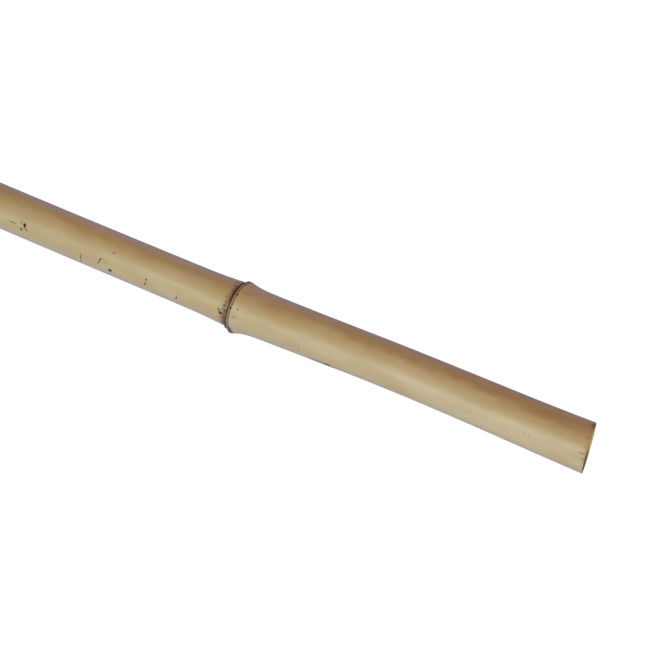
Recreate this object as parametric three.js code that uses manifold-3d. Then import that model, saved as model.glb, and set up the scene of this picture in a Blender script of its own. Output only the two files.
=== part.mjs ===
// Bamboo cane: one length of a slender garden bamboo, lying on a level surface.
// Millimetres, +Z up. +X runs along the cane towards its thick butt end, and the origin is at
// the middle of the cane's footprint, on the surface that it lies on.
//
// The cane is one grown piece: four internodes joined at three nodes. Each node has a flange
// where a leaf sheath sat, a bud scar above it and a wall across the hollow inside it. The
// hollow is open at both sawn ends, as far as the first node. The walls at the nodes seal the
// two middle internodes, and their hollow is left filled.

import * as THREE from 'three';
import { mergeVertices } from 'three/addons/utils/BufferGeometryUtils.js';
import Module from 'manifold-3d';

// Driving dimensions
const CANE_LENGTH = 750;
const FOOTPRINT_FLAT = 0.25;      // depth of the worn flat under each node
const WALL_SHARE = 0.41;          // thickness of the cane's wall, as a share of its radius
const AROUND = 48;                // facets round the cane

// Nodes, counted from the butt: distance from the butt end, sideways place of the centreline,
// and the side that the bud faces, in degrees from the front (-Y) towards the top (+Z).
// Buds take turns from one side to the other.
const NODES = [
  { along: 175, sideways: -0.15, bud: 14 },
  { along: 396, sideways: 2.1, bud: 194 },
  { along: 626, sideways: -1.4, bud: 14 },
];
const BUTT = { along: 0, sideways: 0.85, height: 12.6 };
const TIP = { along: CANE_LENGTH, sideways: 0.7, height: 11.2 };

// Radius of each internode at its butt side, in its middle and at its tip side, and its sideways
// bow. It is waisted, and widens again below the next node.
const INTERNODES = [
  { start: 11.75, middle: 10.92, end: 11.57, bow: 1.0 },
  { start: 10.87, middle: 10.9, end: 11.2, bow: -0.2 },
  { start: 10.45, middle: 10.3, end: 10.7, bow: 0.5 },
  { start: 9.95, middle: 9.8, end: 9.85, bow: -0.3 },
];

// Relief at a node. Every height is above the internode, and every reach is along the cane.
const FLANGE = 1.8;               // mean height of the flange
const FLANGE_LEAN = 0.35;         // how much higher the flange is on the bud's side
const FLARE_REACH = 4.6;          // butt side: the flange flares out over this length
const FLARE_POWER = 1.28;
const DROP_REACH = 2.4;           // tip side: the flange drops off over this length
const SHOULDER = 0.76;            // height left at the foot of the drop
const SHOULDER_REACH = 12;
const BUD_OFFSET = 5;             // the bud scar's middle, past the flange's crest
const BUD_HEIGHT = 0.7;
const BUD_HALF_LENGTH = 2.2;
const BUD_HALF_WIDTH = 3.2;
const FLAT_DEPTH = 0.25;          // faint flattening of the internode above each bud
const FLAT_HALF_WIDTH = 5;
const FLAT_START = 7;
const FLAT_REACH = 34;
const KINK_ROUNDING = 8;          // the cane bends at its nodes over about this length

// The two saw cuts: outward normals, a few degrees off square
const BUTT_CUT = new THREE.Vector3(1, 0.065, 0.105).normalize();
const TIP_CUT = new THREE.Vector3(-1, 0.025, -0.035).normalize();
const SAW_OVERLENGTH = 6;         // the raw culm is longer than the cane by this at each end
const SAW_BLOCK = 80;             // side of the blocks that are cut away

// Hollow inside the end internodes
const WALL_ACROSS = 3;            // half the thickness of the wall across each node
const DISH = 7;                   // length over which that wall curves into the side
const DISH_STEPS = 4;

const SAME_PLACE = 1e-4;          // points closer than this are one point

const degrees = THREE.MathUtils.degToRad;
const smoothstep = THREE.MathUtils.smoothstep;

// Distance from the butt end, for a place along X
const fromButt = (x) => CANE_LENGTH / 2 - x;
const alongX = (distance) => CANE_LENGTH / 2 - distance;

// Radius of one internode at a distance from the butt: the curve through its three radii
function internodeRadius(index, distance) {
  const from = index === 0 ? 0 : NODES[index - 1].along;
  const to = index === NODES.length ? CANE_LENGTH : NODES[index].along;
  const t = THREE.MathUtils.clamp((distance - from) / (to - from), 0, 1);
  const { start, middle, end } = INTERNODES[index];
  return start * (1 - t) * (1 - 2 * t) + 4 * middle * t * (1 - t) + end * t * (2 * t - 1);
}

// Radius without the relief. It changes from one internode to the next under the flange's drop.
function plainRadius(distance) {
  const passed = NODES.filter((node) => distance > node.along).length;
  const radius = internodeRadius(passed, distance);
  if (passed === 0) return radius;
  const past = distance - NODES[passed - 1].along;
  return THREE.MathUtils.lerp(
    internodeRadius(passed - 1, distance), radius, smoothstep(past, 0, DROP_REACH));
}

const boreRadius = (distance) => plainRadius(distance) * (1 - WALL_SHARE);

// Height of the relief that one node adds, past it by a length and at an angle round the cane
function nodeRelief(node, past, angle) {
  const turn = Math.cos(angle - degrees(node.bud));
  const crest = FLANGE * (1 + FLANGE_LEAN * turn);
  if (past <= 0) return crest * Math.exp(-((-past / FLARE_REACH) ** FLARE_POWER));
  const drop = (crest - SHOULDER) * (1 - smoothstep(past, 0, DROP_REACH));
  const shoulder = SHOULDER * Math.exp(-((past / SHOULDER_REACH) ** 2));
  const aside = Math.acos(THREE.MathUtils.clamp(turn, -1, 1)) * plainRadius(node.along);
  const bud = BUD_HEIGHT
    * Math.exp(-(((past - BUD_OFFSET) / BUD_HALF_LENGTH) ** 2) - (aside / BUD_HALF_WIDTH) ** 2);
  const flat = FLAT_DEPTH * smoothstep(past, FLAT_START, 2 * FLAT_START)
    * Math.exp(-past / FLAT_REACH - (aside / FLAT_HALF_WIDTH) ** 2);
  return drop + shoulder + bud - flat;
}

const relief = (distance, angle) =>
  NODES.reduce((sum, node) => sum + nodeRelief(node, distance - node.along, angle), 0);

// Centreline points: each node stands on its flange, less the flat worn under it.
const straightDown = -Math.PI / 2;
const KNEES = [
  BUTT,
  ...NODES.map((node) => ({
    along: node.along,
    sideways: node.sideways,
    height: plainRadius(node.along) + relief(node.along, straightDown) - FOOTPRINT_FLAT,
  })),
  TIP,
];

// Sideways bow of the internode that holds a place
function bowAt(distance) {
  const index = NODES.filter((node) => distance > node.along).length;
  const from = KNEES[index].along;
  const to = KNEES[index + 1].along;
  const t = THREE.MathUtils.clamp((distance - from) / (to - from), 0, 1);
  return INTERNODES[index].bow * Math.sin(Math.PI * t) ** 2;
}

// A straight run from knee to knee, with each knee rounded a little
function centreline(distance, key) {
  const slopes = KNEES.slice(1).map(
    (knee, i) => (knee[key] - KNEES[i][key]) / (knee.along - KNEES[i].along));
  let value = KNEES[0][key] + slopes[0] * distance;
  for (let i = 1; i < slopes.length; i++) {
    const past = distance - KNEES[i].along;
    value += (slopes[i] - slopes[i - 1]) * (past + Math.hypot(past, KINK_ROUNDING)) / 2;
  }
  return key === 'sideways' ? value + bowAt(distance) : value;
}

// Places along the skin where the profile has a point: close together at each node
function skinStations() {
  const places = [-SAW_OVERLENGTH, CANE_LENGTH + SAW_OVERLENGTH];
  const plainStep = 31;
  const flareSteps = 8;
  const flareSpan = 19;
  const dropSteps = 7;
  const shoulderSteps = 6;
  const shoulderSpan = 26;
  const shoulderSpread = 1.4;
  for (const node of NODES) {
    places.push(node.along);
    for (let i = 1; i <= flareSteps; i++) {
      places.push(node.along - flareSpan * (i / flareSteps) ** 2);
    }
    for (let i = 1; i <= dropSteps; i++) {
      places.push(node.along + DROP_REACH * i / dropSteps);
    }
    for (let i = 1; i <= shoulderSteps; i++) {
      const span = shoulderSpan * (i / shoulderSteps) ** shoulderSpread;
      places.push(node.along + DROP_REACH + span);
    }
  }
  const crowded = [...places];
  for (let place = 0; place < CANE_LENGTH; place += plainStep) {
    if (crowded.every((other) => Math.abs(other - place) > plainStep / 2)) places.push(place);
  }
  return places.sort((a, b) => a - b);
}

// Half outline of one end's hollow, from the wall across the node to past the saw cut
function hollowProfile(nodeDistance, endDistance) {
  const towardsEnd = Math.sign(endDistance - nodeDistance);
  const floor = nodeDistance + towardsEnd * WALL_ACROSS;
  const points = [new THREE.Vector2(0, alongX(floor))];
  for (let i = 1; i <= DISH_STEPS; i++) {
    const turn = (Math.PI / 2) * (i / DISH_STEPS);
    const place = floor + towardsEnd * DISH * (1 - Math.cos(turn));
    points.push(new THREE.Vector2(boreRadius(place) * Math.sin(turn), alongX(place)));
  }
  const middle = (floor + endDistance) / 2;
  points.push(new THREE.Vector2(boreRadius(middle), alongX(middle)));
  const beyond = endDistance + towardsEnd * SAW_OVERLENGTH;
  points.push(new THREE.Vector2(boreRadius(beyond), alongX(beyond)));
  return points;
}

// The raw culm: one closed outline spun round the axis, then given its relief and its bends
function culmGeometry() {
  const skin = skinStations().map((place) => new THREE.Vector2(plainRadius(place), alongX(place)));
  const outline = [
    ...hollowProfile(NODES.at(-1).along, CANE_LENGTH),
    ...skin.reverse(),
    ...hollowProfile(NODES[0].along, 0).reverse(),
  ];
  const geometry = new THREE.LatheGeometry(outline, AROUND);
  geometry.rotateZ(-Math.PI / 2);
  const position = geometry.getAttribute('position');
  for (let i = 0; i < position.count; i++) {
    const distance = fromButt(position.getX(i));
    const radius = Math.hypot(position.getY(i), position.getZ(i));
    const angle = Math.atan2(position.getZ(i), -position.getY(i));
    const bore = boreRadius(distance);
    const skinShare = THREE.MathUtils.clamp(
      (radius - bore) / (plainRadius(distance) - bore), 0, 1);
    const grown = radius + relief(distance, angle) * skinShare;
    position.setY(i, centreline(distance, 'sideways') - grown * Math.cos(angle));
    position.setZ(i, centreline(distance, 'height') + grown * Math.sin(angle));
  }
  return geometry;
}

// The block that a saw takes off: its near face goes through a point, square to a direction
function sawBlock(point, direction) {
  const block = new THREE.BoxGeometry(SAW_BLOCK, SAW_BLOCK, SAW_BLOCK);
  block.translate(SAW_BLOCK / 2, 0, 0);
  block.applyQuaternion(
    new THREE.Quaternion().setFromUnitVectors(new THREE.Vector3(1, 0, 0), direction));
  return block.translate(point.x, point.y, point.z);
}

// The ground below the cane, as a block with its top at height 0
function groundBlock() {
  const block = new THREE.BoxGeometry(CANE_LENGTH, SAW_BLOCK, SAW_BLOCK);
  return block.translate(0, 0, -SAW_BLOCK / 2);
}

const wasm = await Module();
wasm.setup();

function solidFrom(geometry) {
  const bare = geometry.clone();
  bare.deleteAttribute('normal');
  bare.deleteAttribute('uv');
  const merged = mergeVertices(bare, SAME_PLACE);
  const triVerts = new Uint32Array(merged.index.array);
  const vertProperties = merged.getAttribute('position').array;
  return new wasm.Manifold(new wasm.Mesh({ numProp: 3, vertProperties, triVerts }));
}

function geometryFrom(solid) {
  const { numProp, vertProperties, triVerts } = solid.getMesh();
  const position = new Float32Array((vertProperties.length / numProp) * 3);
  for (let i = 0; i < position.length; i++) {
    position[i] = vertProperties[Math.floor(i / 3) * numProp + (i % 3)];
  }
  const geometry = new THREE.BufferGeometry();
  geometry.setAttribute('position', new THREE.BufferAttribute(position, 3));
  geometry.setIndex(new THREE.BufferAttribute(triVerts, 1));
  return geometry;
}

// The cane: the raw culm with both ends sawn off and its lowest places worn flat
function caneGeometry() {
  const endPoint = (distance) => new THREE.Vector3(
    alongX(distance), centreline(distance, 'sideways'), centreline(distance, 'height'));
  const cuts = [
    sawBlock(endPoint(0), BUTT_CUT),
    sawBlock(endPoint(CANE_LENGTH), TIP_CUT),
    groundBlock(),
  ];
  const culm = solidFrom(culmGeometry());
  const sawn = cuts.reduce((solid, cut) => solid.subtract(solidFrom(cut)), culm);
  const geometry = geometryFrom(sawn);
  geometry.computeBoundingBox();
  const middle = geometry.boundingBox.getCenter(new THREE.Vector3());
  geometry.translate(-middle.x, -middle.y, -geometry.boundingBox.min.z);
  geometry.computeVertexNormals();
  return geometry;
}

const straw = new THREE.MeshStandardMaterial({
  color: new THREE.Color(0.62, 0.52, 0.33),
  roughness: 0.45,
  metalness: 0,
});

const cane = new THREE.Mesh(caneGeometry(), straw);
cane.name = 'cane';

const bambooCane = new THREE.Group();
bambooCane.add(cane);

export default bambooCane;
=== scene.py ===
"""Bamboo cane: the looks of one garden cane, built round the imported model's frame.

The culm is drawn as a flat sheet, unrolled, and a Geometry Nodes tree rolls it up, raises its
rings and bud scars and cuts off its ends. Root dots and scar fibres grow on it by trees of their
own. Sizes are in metres, with +X towards the butt end and +Z up.
"""

import math

import bpy
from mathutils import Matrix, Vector


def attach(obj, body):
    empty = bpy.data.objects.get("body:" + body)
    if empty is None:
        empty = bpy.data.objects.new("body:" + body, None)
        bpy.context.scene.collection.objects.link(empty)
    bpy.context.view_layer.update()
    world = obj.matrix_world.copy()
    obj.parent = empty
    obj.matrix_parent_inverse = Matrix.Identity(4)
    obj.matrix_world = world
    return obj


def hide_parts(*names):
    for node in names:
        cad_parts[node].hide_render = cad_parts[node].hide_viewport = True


bl_info = {
    "name": "Bamboo Cane",
    "version": (1, 0, 0),
    "blender": (4, 5, 0),
    "location": "3D View > Sidebar > Cane",
    "description": "Grows a dry bamboo cane with ringed nodes and sawn ends",
    "category": "Object",
}

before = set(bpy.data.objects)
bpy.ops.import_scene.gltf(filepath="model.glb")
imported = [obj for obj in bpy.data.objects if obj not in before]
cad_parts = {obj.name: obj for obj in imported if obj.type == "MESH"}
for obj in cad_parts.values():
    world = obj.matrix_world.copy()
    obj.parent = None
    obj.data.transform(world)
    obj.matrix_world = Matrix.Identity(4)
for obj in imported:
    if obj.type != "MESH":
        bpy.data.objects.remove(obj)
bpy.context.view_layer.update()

MM = 0.001
TURN = math.tau

# The cane's growth, as in the CAD source: distances run from the butt end, and sides are angles
# round the cane, from the front (-Y) towards the top (+Z)
CANE_LENGTH = 750 * MM
NODES = (
    {"along": 175 * MM, "sideways": -0.15 * MM, "bud": math.radians(14)},
    {"along": 396 * MM, "sideways": 2.1 * MM, "bud": math.radians(194)},
    {"along": 626 * MM, "sideways": -1.4 * MM, "bud": math.radians(14)},
)
BUTT = {"along": 0.0, "sideways": 0.85 * MM, "height": 12.6 * MM}
TIP = {"along": CANE_LENGTH, "sideways": 0.7 * MM, "height": 11.2 * MM}
INTERNODES = (
    {"start": 11.75 * MM, "middle": 10.92 * MM, "end": 11.57 * MM, "bow": 1.0 * MM},
    {"start": 10.87 * MM, "middle": 10.9 * MM, "end": 11.2 * MM, "bow": -0.2 * MM},
    {"start": 10.45 * MM, "middle": 10.3 * MM, "end": 10.7 * MM, "bow": 0.5 * MM},
    {"start": 9.95 * MM, "middle": 9.8 * MM, "end": 9.85 * MM, "bow": -0.3 * MM},
)
FOOTPRINT_FLAT = 0.25 * MM
KINK_ROUNDING = 8 * MM
BUTT_CUT = (1.0, 0.065, 0.105)
TIP_CUT = (-1.0, 0.025, -0.035)
CUT_FADE = 25 * MM
# Painted shade lies on the half of each saw cut and its rim that faces the first side; a dark
# corner faces the second
CUT_SHADE_SIDE = math.radians(-29)
CUT_CORNER_SIDE = math.radians(130)
SCORCHED_SIDE = math.radians(52)
SAW_PITCH = 1.1 * MM
RIM_WIDTH = 0.12 * MM
RIM_CHIP = 0.22 * MM
WALL_ACROSS = 3 * MM
DISH = 7 * MM
LINING_UNEVENNESS = 0.25 * MM
# How far into the hollow its mouth is darkened
DARK_MOUTH = 9 * MM
# The origin is in the middle of the footprint, this far from the middle of the butt-to-tip line
MIDDLE = (0.53 * MM, 0.62 * MM)
RADIUS = 11 * MM
SUNNED_SIDE = math.radians(116)
# Painted sheen is nil on this side and grows towards both flanks
SHEEN_FREE_SIDE = math.radians(60)
# A dark streak of painted shade along the upper edge: its side and half width
SHADE_STREAK_SIDE = math.radians(144)
SHADE_STREAK_WIDTH = math.radians(9)

# Scar that the lost sheath left at each node: its two edges against the flange's crest
SCAR_WANDER = 0.5 * MM
SCAR_DIP = 2.0 * MM
SCAR_DIP_SIDE = math.radians(-54)
STUB_SIDE = math.radians(-42)
# The scar is dark all across round this side
DARKEST_SCAR_SIDE = math.radians(130)
CLEFT_PAST = 1.8 * MM
CLEFT_LEAN = 0.5 * MM
CLEFT_WIDTH = 0.42 * MM
SEAM_WIDTH = 0.16 * MM
SEAM_DEPTH = 0.1 * MM
# Its lips: how far past the cleft, and half width
LIPS = ((-0.8 * MM, 0.3 * MM), (0.9 * MM, 0.4 * MM))
LIP_HEIGHT = 0.12 * MM

# Forms at each bud: how far past the flange's crest, or past the cleft for the sheath's stub, then
# half length along the cane and half width round it
BUD = (5 * MM, 2.2 * MM, 3.2 * MM)
EYE = (4.6 * MM, 0.9 * MM, 1.3 * MM)
BROW = (6.6 * MM, 0.4 * MM, 2.6 * MM)
GROOVE = (22 * MM, 18 * MM, 5 * MM)
GROOVE_DEPTH = 0.2 * MM
STUB = (0.6 * MM, 1.0 * MM, 3.4 * MM)

# Bands past each crest where small things grow, the most of them that are tried on a square metre,
# and a fibre's radius at its root and its tip
ROOT_DOT_BAND = (3.2 * MM, 5.6 * MM)
FRAYED_BAND = (1.0 * MM, 2.1 * MM)
MOST_CROWDED = 2.5e6
FIBRE_ROOT = 0.07 * MM
FIBRE_TIP = 0.015 * MM
# Depth is 1 on the skin and 0 or less in the hollow, to within this
DEPTH_SLACK = 0.001
# A row this close to an end lies on its saw cut
FACE_SLACK = 0.01 * MM

# Lights: name, setting that holds the power, size, place and colour
LIGHTS = (
    ("low front light", "key", (1.6, 0.7), (0.35, -1.2, 0.72), (1.0, 1.0, 1.0)),
    ("top light", "top", (1.6, 1.2), (0.2, 0.5, 1.4), (1.0, 1.0, 1.0)),
    ("low back light", "back", (1.6, 0.6), (0.2, 1.3, 0.4), (0.84, 0.8, 1.0)),
)
LIT_PLACE = Vector((0.2, 0.0, 0.0))

# Marks on the skin: distance from the butt in millimetres and side in degrees, then half length
# along the cane, half width round it, slant along the cane for each millimetre round it, and how
# dark
MARKS = (
    (299.9, 31.5, 1.9, 0.35, 0.0, 0.45),
    (293.0, 37, 0.75, 1.05, 0.1, 1.0),
    (294.8, 22, 0.65, 0.8, 0.0, 0.6),
    (295.0, 42, 0.4, 0.9, 0.2, 0.35),
    (291.7, 27, 0.35, 0.9, 0.45, 0.7),
    (293.0, 29, 0.35, 0.4, 0.0, 0.6),
    (259.6, 8, 0.32, 2.9, -0.07, 0.55),
    (248.8, 25, 0.32, 2.0, -0.42, 0.6),
    (248.2, 32, 0.35, 0.7, -0.3, 0.85),
    (246.4, 36, 0.2, 0.8, 0.0, 0.3),
    (244.8, 31, 0.25, 1.2, 0.0, 0.3),
    (242.5, 10, 0.95, 0.85, 0.0, 1.0),
    (242.0, 62, 0.5, 0.4, 0.0, 0.65),
    (242.6, 62, 1.3, 0.15, 0.2, 0.4),
    (234.4, -10, 0.8, 0.4, 0.0, 0.5),
    (222.0, 29, 0.4, 0.5, 0.0, 0.75),
    (222.4, 15, 0.3, 1.3, -0.35, 0.7),
    (204.8, 12, 0.28, 1.3, -0.17, 0.7),
    (205.6, 7, 0.6, 0.25, 0.0, 0.5),
    (205.4, -14, 0.5, 0.6, 0.0, 0.6),
    (182.0, 36, 0.4, 0.3, 0.0, 0.4),
    (181.0, 29, 0.3, 0.5, 0.3, 0.75),
    (180.2, 27, 0.75, 0.5, -0.4, 1.0),
    (181.4, 33, 0.45, 0.4, -0.3, 0.7),
    (178.2, 18, 0.9, 0.4, 0.0, 0.45),
    (178.2, 36, 0.6, 0.7, 0.0, 0.4),
    (179.4, 113, 0.4, 0.4, 0.0, 0.6),
    (179.6, 39, 0.4, 0.3, 0.0, 0.6),
    (179.4, 48, 0.45, 0.35, 0.0, 0.85),
    (179.4, 57, 0.25, 0.5, 0.0, 0.45),
    (178.6, 88, 0.35, 0.3, 0.0, 0.65),
    (178.6, 95, 0.3, 0.35, 0.0, 0.45),
    (178.8, 104, 0.4, 0.45, 0.0, 0.9),
    (174.4, 114, 0.8, 0.5, 0.2, 0.45),
    (175.3, 127, 0.6, 1.2, 0.1, 0.6),
    (174.4, 134, 0.5, 1.9, 0.2, 0.6),
    (173.4, 142, 0.5, 1.1, 0.2, 0.5),
    (179.4, 123, 0.4, 0.5, 0.0, 0.7),
    (174.9, 81, 0.4, 0.4, 0.0, 0.95),
    (176.8, 65, 0.3, 0.35, 0.0, 0.8),
    (175.2, 50, 0.45, 0.4, 0.0, 0.9),
    (171.8, 52, 0.35, 0.32, 0.0, 0.6),
    (172.6, 35, 0.35, 0.35, 0.0, 0.55),
    (167.8, 51, 0.2, 0.9, 0.0, 0.25),
    (153.0, -10, 0.4, 0.4, 0.0, 0.4),
    (138.8, 7, 0.5, 0.45, 0.0, 0.5),
    (127.5, -23, 6.5, 2.2, 0.0, 0.65),
    (124.2, -23, 2.8, 2.6, 0.0, 0.85),
    (118.5, -23, 1.6, 1.8, 0.0, 0.4),
    (120.2, 132, 0.5, 0.5, 0.0, 0.4),
    (28.2, 34, 0.35, 0.3, 0.0, 0.3),
    (25.8, 34, 0.3, 0.35, 0.0, 0.35),
    (0.7, 117, 0.9, 1.4, 0.0, 0.45),
    (1.5, 79, 1.3, 0.2, 0.1, 0.45),
    (1.6, 59, 0.25, 0.25, 0.0, 0.5),
    (2.3, 44.5, 1.5, 0.2, 0.0, 0.5),
    (1.3, 32, 0.8, 0.2, 0.05, 0.3),
    (442.0, -130, 0.4, 1.6, 0.1, 0.7),
    (488.0, 150, 0.6, 0.8, 0.0, 0.85),
    (540.0, 40, 0.3, 1.4, -0.2, 0.7),
    (566.0, -105, 0.5, 0.6, 0.0, 0.75),
    (590.0, 15, 0.35, 1.1, 0.2, 0.6),
    (684.0, 95, 0.4, 0.5, 0.0, 0.7),
    (702.0, 20, 0.3, 1.2, -0.3, 0.65),
    (95.0, -140, 0.4, 1.3, 0.2, 0.7),
    (62.0, -95, 0.5, 0.6, 0.0, 0.6),
)


class Field:
    """One value in a node tree, which adds and multiplies as a plain number does."""

    def __init__(self, socket):
        self.socket = socket
        self.tree = socket.id_data

    def __add__(self, other):
        return math_node("ADD", self, other)

    def __sub__(self, other):
        return math_node("SUBTRACT", self, other)

    def __rsub__(self, other):
        return math_node("SUBTRACT", other, self)

    def __mul__(self, other):
        return math_node("MULTIPLY", self, other)

    def __truediv__(self, other):
        return math_node("DIVIDE", self, other)

    def __pow__(self, other):
        return math_node("POWER", self, other)

    __radd__ = __add__
    __rmul__ = __mul__


def feed(socket, value):
    """Links a field into a socket, or sets the socket to a plain value."""
    if isinstance(value, Field):
        socket.id_data.links.new(value.socket, socket)
    else:
        socket.default_value = value


def tree_of(*values):
    """The tree of the first field among some values."""
    return next(value.tree for value in values if isinstance(value, Field))


def math_node(operation, *values):
    node = tree_of(*values).nodes.new("ShaderNodeMath")
    node.operation = operation
    for socket, value in zip(node.inputs, values):
        feed(socket, value)
    return Field(node.outputs[0])


def cosine(field):
    return math_node("COSINE", field)


def sine(field):
    return math_node("SINE", field)


def larger(field, other):
    return math_node("MAXIMUM", field, other)


def smaller(field, other):
    return math_node("MINIMUM", field, other)


def past(field, place):
    """1 where the field is over a place, and 0 before it."""
    return math_node("GREATER_THAN", field, place)


def root(field):
    return math_node("SQRT", field)


def fade(field):
    """The exponential of minus the field."""
    return math_node("EXPONENT", field * -1)


def bell(field, half_width):
    """1 at zero, falling to 1/e at half_width on both sides."""
    ratio = field / half_width
    return fade(ratio * ratio)


def ramp(field, low, high, smooth=True):
    """0 below low, 1 above high, and a smooth or straight rise between."""
    node = field.tree.nodes.new("ShaderNodeMapRange")
    node.interpolation_type = "SMOOTHSTEP" if smooth else "LINEAR"
    feed(node.inputs["Value"], field)
    feed(node.inputs["From Min"], low)
    feed(node.inputs["From Max"], high)
    return Field(node.outputs["Result"])


def mixed(factor, low, high):
    return low + (high - low) * factor


def vector(tree, x, y, z):
    node = tree.nodes.new("ShaderNodeCombineXYZ")
    for socket, value in zip(node.inputs, (x, y, z)):
        feed(socket, value)
    return Field(node.outputs[0])


def cane_point(distance, side):
    """A place on a cane of one radius, for textures that close up round it."""
    return vector(tree_of(distance, side), cosine(side), sine(side), distance / RADIUS)


def parts_of(field):
    node = field.tree.nodes.new("ShaderNodeSeparateXYZ")
    feed(node.inputs[0], field)
    return [Field(socket) for socket in node.outputs]


def distance_and_side(cane_place):
    """Distance from the butt and side round the cane, from the place kept on the culm."""
    round_x, round_y, distance = parts_of(cane_place)
    return distance, math_node("ARCTAN2", round_y, round_x)


def noise(place, scale, detail=2.0, roughness=0.5):
    node = place.tree.nodes.new("ShaderNodeTexNoise")
    feed(node.inputs["Vector"], place)
    feed(node.inputs["Scale"], scale)
    feed(node.inputs["Detail"], detail)
    feed(node.inputs["Roughness"], roughness)
    return Field(node.outputs[0])


def tint(factor, under, over, mode="MIX"):
    """Lays one colour over another."""
    node = tree_of(factor, under, over).nodes.new("ShaderNodeMix")
    node.data_type = "RGBA"
    node.blend_type = mode
    factor_socket, under_socket, over_socket = node.inputs[0], node.inputs[6], node.inputs[7]
    feed(factor_socket, factor)
    feed(under_socket, under)
    feed(over_socket, over)
    return Field(node.outputs[2])


def srgb(red, green, blue):
    """A screen colour, 0 to 255 a channel, as the linear colour that a shader takes."""
    def linear(value):
        value /= 255
        return value / 12.92 if value <= 0.04045 else ((value + 0.055) / 1.055) ** 2.4
    return (linear(red), linear(green), linear(blue), 1.0)


def colour_property(name, description, default):
    return bpy.props.FloatVectorProperty(
        name=name, description=description, subtype="COLOR", size=4, min=0, max=1,
        default=default)


def length_property(name, description, default):
    return bpy.props.FloatProperty(
        name=name, description=description, default=default, min=0, unit="LENGTH", precision=5)


def share_property(name, description, default):
    return bpy.props.FloatProperty(
        name=name, description=description, default=default, min=0, max=1, subtype="FACTOR")


def power_property(name, description, default):
    return bpy.props.FloatProperty(
        name=name, description=description, default=default, min=0, unit="POWER")


def angle_property(name, description, degrees):
    return bpy.props.FloatProperty(
        name=name, description=description, default=math.radians(degrees), subtype="ANGLE")


class CaneShape(bpy.types.PropertyGroup):
    """Sizes of the culm and of what grows on it."""
    around: bpy.props.IntProperty(
        name="Around", description="Points round the cane", default=160, min=24)
    wall: share_property("Wall", "Wall thickness as a share of the radius", 0.41)
    flange: length_property("Flange", "Mean height of the flange at a node", 1.8 * MM)
    lean: share_property("Flange Lean", "How much higher it is on the bud's side", 0.35)
    flare: length_property("Flare", "Length over which the flange flares out", 4.6 * MM)
    flare_power: bpy.props.FloatProperty(
        name="Flare Power", description="How sharply the flare starts", default=1.28, min=0.5)
    drop: length_property("Drop", "Length over which the flange drops off", 2.4 * MM)
    shoulder: length_property("Shoulder", "Height left at the foot of the drop", 0.76 * MM)
    shoulder_reach: length_property("Shoulder Reach", "Length of the shoulder", 12 * MM)
    bud: length_property("Bud", "Height of the bud scar", 0.7 * MM)
    stub: length_property("Stub", "Height of the sheath's stub beside the bud", 0.9 * MM)
    cleft: length_property("Cleft", "Depth of the sheath scar's cleft", 0.5 * MM)
    waver: length_property("Waver", "Unevenness of the skin", 0.07 * MM)
    saw_marks: length_property("Saw Marks", "Depth of the saw marks", 0.06 * MM)
    dot_spacing: length_property("Dot Spacing", "Least distance between root dots", 1.0 * MM)
    dot_size: length_property("Dot Size", "Radius of a root dot", 0.26 * MM)
    fibre_spacing: length_property("Fibre Spacing", "Least distance between fibres", 0.45 * MM)
    fibre_length: length_property("Fibre Length", "Length of the scar's fibres", 0.9 * MM)


class CaneFinish(bpy.types.PropertyGroup):
    """Colours and gloss of the cane."""
    straw: colour_property("Straw", "Pale side of the skin", srgb(203, 188, 144))
    straw_deep: colour_property("Deep Straw", "Darker patches of it", srgb(192, 173, 123))
    tan: colour_property("Tan", "Sunned side of the skin", srgb(184, 151, 96))
    brown: colour_property("Brown", "Darkest part of the sunned side", srgb(160, 116, 55))
    scar: colour_property("Scar", "Sheath scar and its cleft", srgb(66, 30, 8))
    stain: colour_property("Stain", "Stain above a node", srgb(158, 118, 88))
    bruise: colour_property("Bruise", "Bruise under a bud", srgb(78, 68, 66))
    # Painted reflection: the grey sheen along both flanks
    flank_sheen: colour_property("Bloom", "Waxy bloom on the flanks", srgb(194, 190, 178))
    # Painted reflection darkened by painted shade, on the flank past the sunned side
    shaded_sheen: colour_property("Dusk", "Bloom past the sunned side", srgb(166, 148, 144))
    mark: colour_property("Mark", "Small dark marks on the skin", srgb(44, 24, 8))
    dirt: colour_property("Dirt", "Dirt beside a scar", srgb(116, 88, 48))
    scorch: colour_property("Scorch", "Skin beside a saw cut", srgb(176, 134, 72))
    wood: colour_property("Wood", "Ground tissue on a saw cut", srgb(232, 210, 156))
    bundle: colour_property("Bundle", "Fibre bundles on a saw cut", srgb(150, 112, 70))
    pith: colour_property("Pith", "Lining of the hollow", srgb(228, 214, 178))
    gloss: share_property("Gloss", "Weight of the waxy coat", 0.25)


class CaneStage(bpy.types.PropertyGroup):
    """Floor, lights and camera."""
    floor: colour_property("Floor", "Colour that the floor reflects", (0.56, 0.55, 0.68, 1.0))
    sky: colour_property("Sky", "Colour of the light from all round", (0.83, 0.83, 1.0, 1.0))
    sky_strength: share_property("Sky Strength", "Strength of the light from all round", 0.38)
    key: power_property("Key", "Power of the low front light", 12.5)
    top: power_property("Top", "Power of the light overhead", 4.5)
    back: power_property("Back", "Power of the low light behind", 4.0)
    azimuth: angle_property("Azimuth", "Side that the camera looks from", 25.85)
    elevation: angle_property("Elevation", "Height that the camera looks from", 57.39)
    distance: length_property("Distance", "From the camera to its aim", 509.1 * MM)
    aim: bpy.props.FloatVectorProperty(
        name="Aim", description="Point at the middle of the picture", unit="LENGTH",
        default=(246.07 * MM, 3.79 * MM, 15.4 * MM))
    lens: bpy.props.FloatProperty(
        name="Lens", description="Focal length", default=58.47, unit="CAMERA")


def grade(start, stop, step):
    """Even places from start up to stop, about a step apart, without stop."""
    count = max(1, round((stop - start) / step))
    return [start + (stop - start) * i / count for i in range(count)]


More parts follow.
